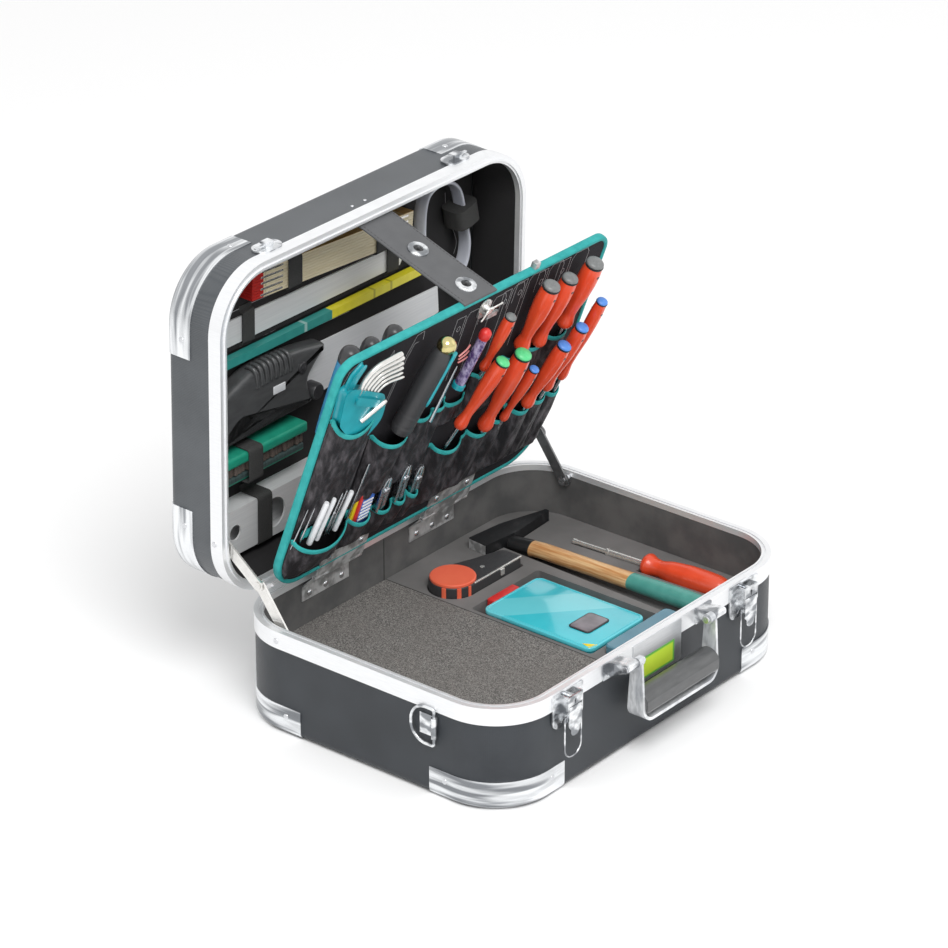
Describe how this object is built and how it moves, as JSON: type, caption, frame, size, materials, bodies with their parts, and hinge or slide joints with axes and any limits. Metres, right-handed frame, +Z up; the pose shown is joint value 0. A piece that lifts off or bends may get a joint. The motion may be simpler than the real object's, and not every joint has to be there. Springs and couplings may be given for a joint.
{
  "type": "hard tool case",
  "caption": "Hard-shell tool case with aluminium rims, hinged lid on folding stays, tool pallet, latches, swinging handle and strap rings, fitted with hand tools.",
  "frame": {"origin": "middle of the base's flat underside, on the surface that the case stands on", "axes": "+Z up, -Y towards the latches and the handle, +Y towards the lid hinges"},
  "size_m": [0.4698, 0.4506, 0.4623],
  "materials": {
    "case_shell": "embossed leather grain, dark blue-grey, low gloss",
    "rim_aluminium": "satin anodised, natural silver",
    "lining": "dark grey felt-like lining",
    "chrome_trim": "polished chrome plate",
    "rivet_steel": "plated steel, soft sheen",
    "leaf_steel": "zinc plated steel",
    "bright_stay": "bright zinc plated steel",
    "grip_plastic": "black moulded grip, glossy",
    "plain_foam": "mid grey closed-cell foam, matt",
    "speckled_foam": "grey-brown speckled foam, matt",
    "board_black": "black covered board, matt",
    "teal_piping": "teal woven edge binding",
    "pocket_cloth": "black pleated cloth with teal edging",
    "driver_plastic": "translucent orange-red handles with coloured caps",
    "tool_steel": "polished tool steel",
    "knife_plastic": "black ribbed handle with teal strip",
    "mixed_small": "clear plastic, steel and painted small tools",
    "plier_grip": "blue dipped grips with black tips",
    "strap_leather": "grey-brown leather, stitched edge",
    "tape_orange": "orange dial on a black body",
    "forged_black": "black lacquered forged steel",
    "ash_haft": "varnished ash with teal painted end",
    "turquoise_plastic": "turquoise moulded plastic",
    "clear_blue": "clear blue plastic",
    "ivory_wood": "ivory lacquered sticks with ochre edge",
    "light_alloy": "light grey anodised section",
    "saw_steel": "bright saw steel",
    "teal_yellow_bar": "teal to yellow painted bar",
    "plane_green": "green enamel",
    "lilac_grey": "lilac-grey enamel",
    "loop_web": "dark grey webbing"
  },
  "bodies": {
    "base": {"base_shell": "case_shell", "base_frame": "rim_aluminium", "base_lining": "lining", "base_corner_caps": "chrome_trim", "base_rivets": "rivet_steel", "lid_hinge_base_leaves": "leaf_steel", "pallet_hinge_base_leaves": "leaf_steel", "hinge_pins": "rivet_steel", "latch_housings": "chrome_trim", "handle_brackets": "chrome_trim", "front_plate": "rim_aluminium", "ring_lugs": "chrome_trim", "floor_foam": "speckled_foam", "insert_foam": "plain_foam", "tape_measure": "tape_orange", "hammer_head": "forged_black", "hammer_haft": "ash_haft", "long_screwdriver": "driver_plastic", "parts_box": "turquoise_plastic", "clear_case": "clear_blue"},
    "lid": {"lid_shell": "case_shell", "lid_frame": "rim_aluminium", "lid_lining": "lining", "lid_board": "board_black", "lid_corner_caps": "chrome_trim", "lid_rivets": "rivet_steel", "lid_hinge_lid_leaves": "leaf_steel", "lid_catches": "chrome_trim", "leather_strap": "strap_leather", "folding_rule": "ivory_wood", "toothed_blade": "saw_steel", "hacksaw_blade": "teal_yellow_bar", "saw_grip": "grip_plastic", "saw_blade": "saw_steel", "small_plane": "plane_green", "spirit_level": "light_alloy", "hacksaw_frame": "lilac_grey", "holding_loops": "loop_web"},
    "pallet": {"pallet_board": "board_black", "pallet_piping": "teal_piping", "pallet_pockets": "pocket_cloth", "pallet_fittings": "leaf_steel", "screwdrivers": "driver_plastic", "screwdriver_blades": "tool_steel", "hex_keys": "tool_steel", "cable_knife": "knife_plastic", "small_tools": "mixed_small", "back_pliers": "plier_grip"},
    "handle": {"handle_bow": "chrome_trim", "handle_grip": "grip_plastic"},
    "latch_lever_left": {"latch_lever_left": "chrome_trim"},
    "latch_bail_left": {"latch_bail_left": "chrome_trim"},
    "strap_ring_left": {"strap_ring_left": "chrome_trim"},
    "stay_lower_left": {"stay_lower_left": "bright_stay"},
    "stay_upper_left": {"stay_upper_left": "bright_stay"},
    "latch_lever_right": {"latch_lever_right": "chrome_trim"},
    "latch_bail_right": {"latch_bail_right": "chrome_trim"},
    "strap_ring_right": {"strap_ring_right": "chrome_trim"},
    "stay_lower_right": {"stay_lower_right": "leaf_steel"},
    "stay_upper_right": {"stay_upper_right": "leaf_steel"}
  },
  "joints": [
    {"name": "lid_hinge", "type": "hinge", "parent": "base", "child": "lid", "pos_m": [0, 0.17535, 0.1073], "axis": [-1, 0, 0], "range_deg": [-88.9, 0], "deforming": ["leather_strap"]},
    {"name": "pallet_hinge", "type": "hinge", "parent": "base", "child": "pallet", "pos_m": [0, 0.147, 0.113], "axis": [-1, 0, 0], "range_deg": [-70.01, 0]},
    {"name": "handle_swing", "type": "hinge", "parent": "base", "child": "handle", "pos_m": [0, -0.1935, 0.1065], "axis": [-1, 0, 0], "range_deg": [0, 90]},
    {"name": "latch_lever_left", "type": "hinge", "parent": "base", "child": "latch_lever_left", "pos_m": [-0.1395, -0.1816, 0.09], "axis": [-1, 0, 0], "range_deg": [0, 95]},
    {"name": "latch_bail_left", "type": "hinge", "parent": "latch_lever_left", "child": "latch_bail_left", "pos_m": [-0.1395, -0.1804, 0.081], "axis": [-1, 0, 0], "range_deg": [-5, 93]},
    {"name": "strap_ring_left", "type": "hinge", "parent": "base", "child": "strap_ring_left", "pos_m": [-0.2319, -0.088, 0.0735], "axis": [0, 0, 1], "range_deg": [0, 150]},
    {"name": "stay_lower_left", "type": "hinge", "parent": "base", "child": "stay_lower_left", "pos_m": [-0.2156, 0.1095, 0.098], "axis": [-1, 0, 0], "range_deg": [-127.7, 0]},
    {"name": "stay_upper_left", "type": "hinge", "parent": "lid", "child": "stay_upper_left", "pos_m": [-0.2182, 0.18572, 0.17686], "axis": [-1, 0, 0], "range_deg": [0, 102.7]},
    {"name": "latch_lever_right", "type": "hinge", "parent": "base", "child": "latch_lever_right", "pos_m": [0.1395, -0.1816, 0.09], "axis": [-1, 0, 0], "range_deg": [0, 95]},
    {"name": "latch_bail_right", "type": "hinge", "parent": "latch_lever_right", "child": "latch_bail_right", "pos_m": [0.1395, -0.1804, 0.081], "axis": [-1, 0, 0], "range_deg": [-5, 93]},
    {"name": "strap_ring_right", "type": "hinge", "parent": "base", "child": "strap_ring_right", "pos_m": [0.2319, -0.088, 0.0735], "axis": [0, 0, -1], "range_deg": [0, 150]},
    {"name": "stay_lower_right", "type": "hinge", "parent": "base", "child": "stay_lower_right", "pos_m": [0.2156, 0.1095, 0.098], "axis": [-1, 0, 0], "range_deg": [-127.7, 0]},
    {"name": "stay_upper_right", "type": "hinge", "parent": "lid", "child": "stay_upper_right", "pos_m": [0.2182, 0.18572, 0.17686], "axis": [-1, 0, 0], "range_deg": [0, 102.7]}
  ],
  "couplings": [
    {"joint": "pallet_hinge", "follows": "lid_hinge", "ratio": 0.7874},
    {"joint": "stay_lower_left", "follows": "lid_hinge", "ratio": 1.4354},
    {"joint": "stay_upper_left", "follows": "lid_hinge", "ratio": -1.154},
    {"joint": "stay_lower_right", "follows": "lid_hinge", "ratio": 1.4354},
    {"joint": "stay_upper_right", "follows": "lid_hinge", "ratio": -1.154}
  ]
}
